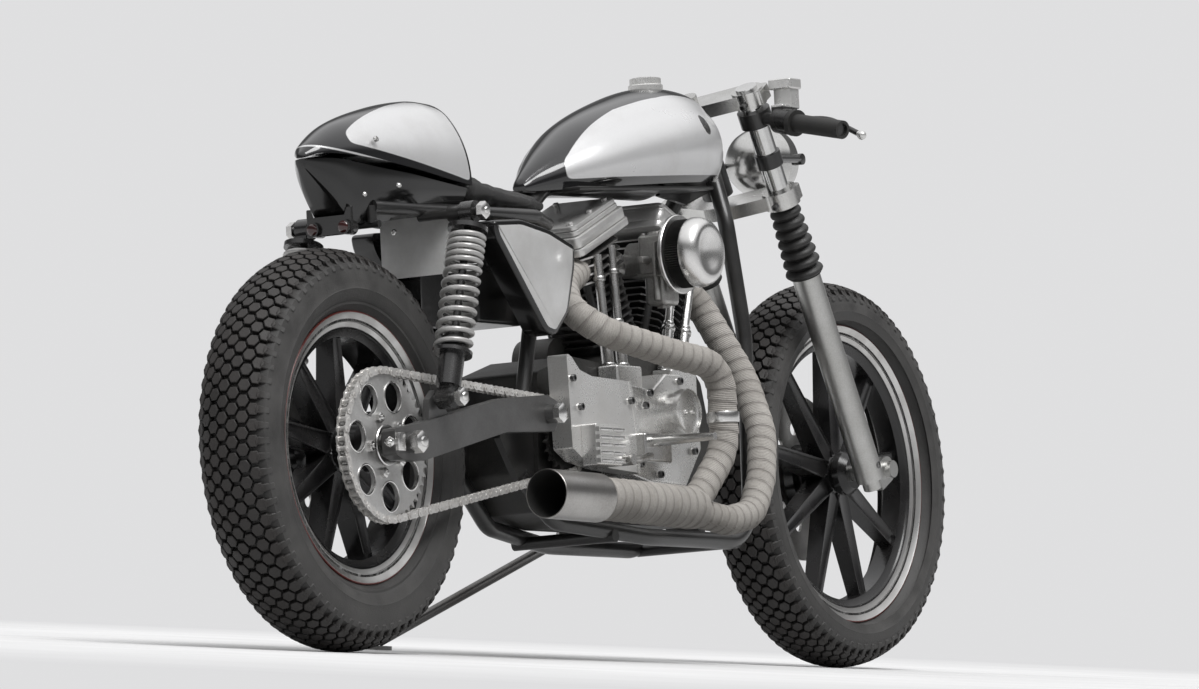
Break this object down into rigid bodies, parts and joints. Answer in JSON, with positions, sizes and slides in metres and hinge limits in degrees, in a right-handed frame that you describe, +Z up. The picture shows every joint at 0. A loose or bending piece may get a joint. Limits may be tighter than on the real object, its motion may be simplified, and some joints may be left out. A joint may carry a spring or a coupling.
{
  "type": "cafe racer motorcycle",
  "caption": "Cafe racer motorcycle with a V-twin engine, wrapped exhaust, seat cowl, clip-on bars, block-tread tyres and a folding side stand, parked at a lean.",
  "frame": {"origin": "bottom centre of the bounding box, on the ground", "axes": "+X forwards, +Y to the rider's left, +Z up; the machine leans 6.4 degrees to its left, on its side stand"},
  "size_m": [2.2579, 0.6786, 1.0112],
  "materials": {
    "painted_white": "gloss silver-white paint",
    "painted_black": "satin black paint",
    "gloss_black": "gloss black paint",
    "polished": "polished",
    "aluminium": "brushed",
    "steel": "brushed",
    "dark_steel": "oily",
    "tyre": "dusty",
    "rubber": "matt",
    "fins_black": "satin black paint with bright fin edges",
    "heat_wrap": "woven heat wrap",
    "leather_black": "stitched",
    "plate": "blank plate",
    "plastic_black": "matt"
  },
  "bodies": {
    "frame": {"backbone": "painted_black", "down_tubes": "painted_black", "rear_frame": "painted_black", "swingarm": "steel", "shock_dampers": "painted_black", "shock_springs": "polished", "engine_case": "painted_black", "primary_cover": "polished", "sprocket_cover": "polished", "gear_cover": "polished", "cylinders": "fins_black", "rocker_boxes": "aluminium", "pushrod_tubes": "polished", "carburettor": "aluminium", "air_cleaner": "aluminium", "fuel_tank": "painted_white", "filler_cap": "polished", "seat_cowl": "painted_white", "cowl_pan": "gloss_black", "seat_pad": "leather_black", "side_covers": "painted_black", "battery_box": "plastic_black", "drive_chain": "dark_steel", "exhaust_pipes": "heat_wrap", "muffler": "steel", "number_plate": "plate", "tail_lamp": "plastic_black", "foot_controls": "polished"},
    "steering": {"triple_clamps": "aluminium", "fork_tubes": "steel", "fork_boots": "rubber", "fork_sliders": "aluminium", "handlebars": "painted_black", "grips": "rubber", "hand_controls": "aluminium", "headlight": "polished", "front_caliper": "painted_black"},
    "front_wheel": {"front_wheel": "painted_black", "front_tyre": "tyre", "front_disc": "steel"},
    "rear_wheel": {"rear_wheel": "painted_black", "rear_tyre": "tyre", "rear_disc": "steel", "rear_sprocket": "steel"},
    "side_stand": {"side_stand": "painted_black"}
  },
  "joints": [
    {"name": "steering", "type": "hinge", "parent": "frame", "child": "steering", "pos_m": [0.38498, 0.01721, 0.9536], "axis": [-0.4718, 0.0983, 0.8762], "range_deg": [-28, 28]},
    {"name": "front_wheel_spin", "type": "hinge", "parent": "steering", "child": "front_wheel", "pos_m": [0.791, -0.05201, 0.33647], "axis": [0, 0.9938, -0.1115], "continuous": true},
    {"name": "rear_wheel_spin", "type": "hinge", "parent": "frame", "child": "rear_wheel", "pos_m": [-0.801, -0.05313, 0.32653], "axis": [0, 0.9938, -0.1115], "continuous": true},
    {"name": "side_stand_fold", "type": "hinge", "parent": "frame", "child": "side_stand", "pos_m": [0.107, 0.06778, 0.20228], "axis": [-0.6876, 0.7244, 0.0496], "range_deg": [0, 107]}
  ]
}
